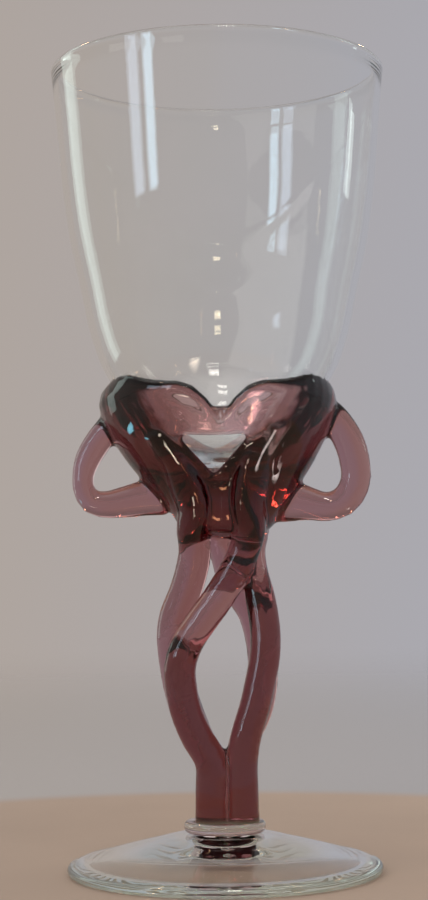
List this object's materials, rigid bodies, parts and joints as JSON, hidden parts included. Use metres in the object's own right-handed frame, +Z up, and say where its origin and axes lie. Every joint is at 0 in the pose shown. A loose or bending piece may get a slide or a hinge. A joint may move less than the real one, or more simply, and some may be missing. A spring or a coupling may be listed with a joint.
{
  "type": "water goblet",
  "caption": "Stemmed glass goblet: a deep clear bowl in a purple cup with side loops, on a stem of entwined purple rods, with a clear collar and domed foot.",
  "frame": {"origin": "centre of the foot's underside, at the level of the ring it rests on", "axes": "+Z up along the goblet's axis, -Y towards the front that the picture shows, +X to its right"},
  "size_m": [0.0836, 0.0836, 0.2],
  "materials": {
    "amethyst_glass": "hand-worked purple glass with a fire-polished gloss, dark brown-purple where it is thick",
    "clear_glass": "blown and fire-polished clear glass with a faint grey-green cast at the edges"
  },
  "bodies": {
    "root": {"calyx_left": "amethyst_glass", "calyx_right": "amethyst_glass", "strand_front": "amethyst_glass", "strand_back": "amethyst_glass", "strand_left": "amethyst_glass", "strand_right": "amethyst_glass", "loop_left": "amethyst_glass", "loop_right": "amethyst_glass", "bowl": "clear_glass", "merese": "clear_glass", "foot": "clear_glass"}
  },
  "joints": []
}
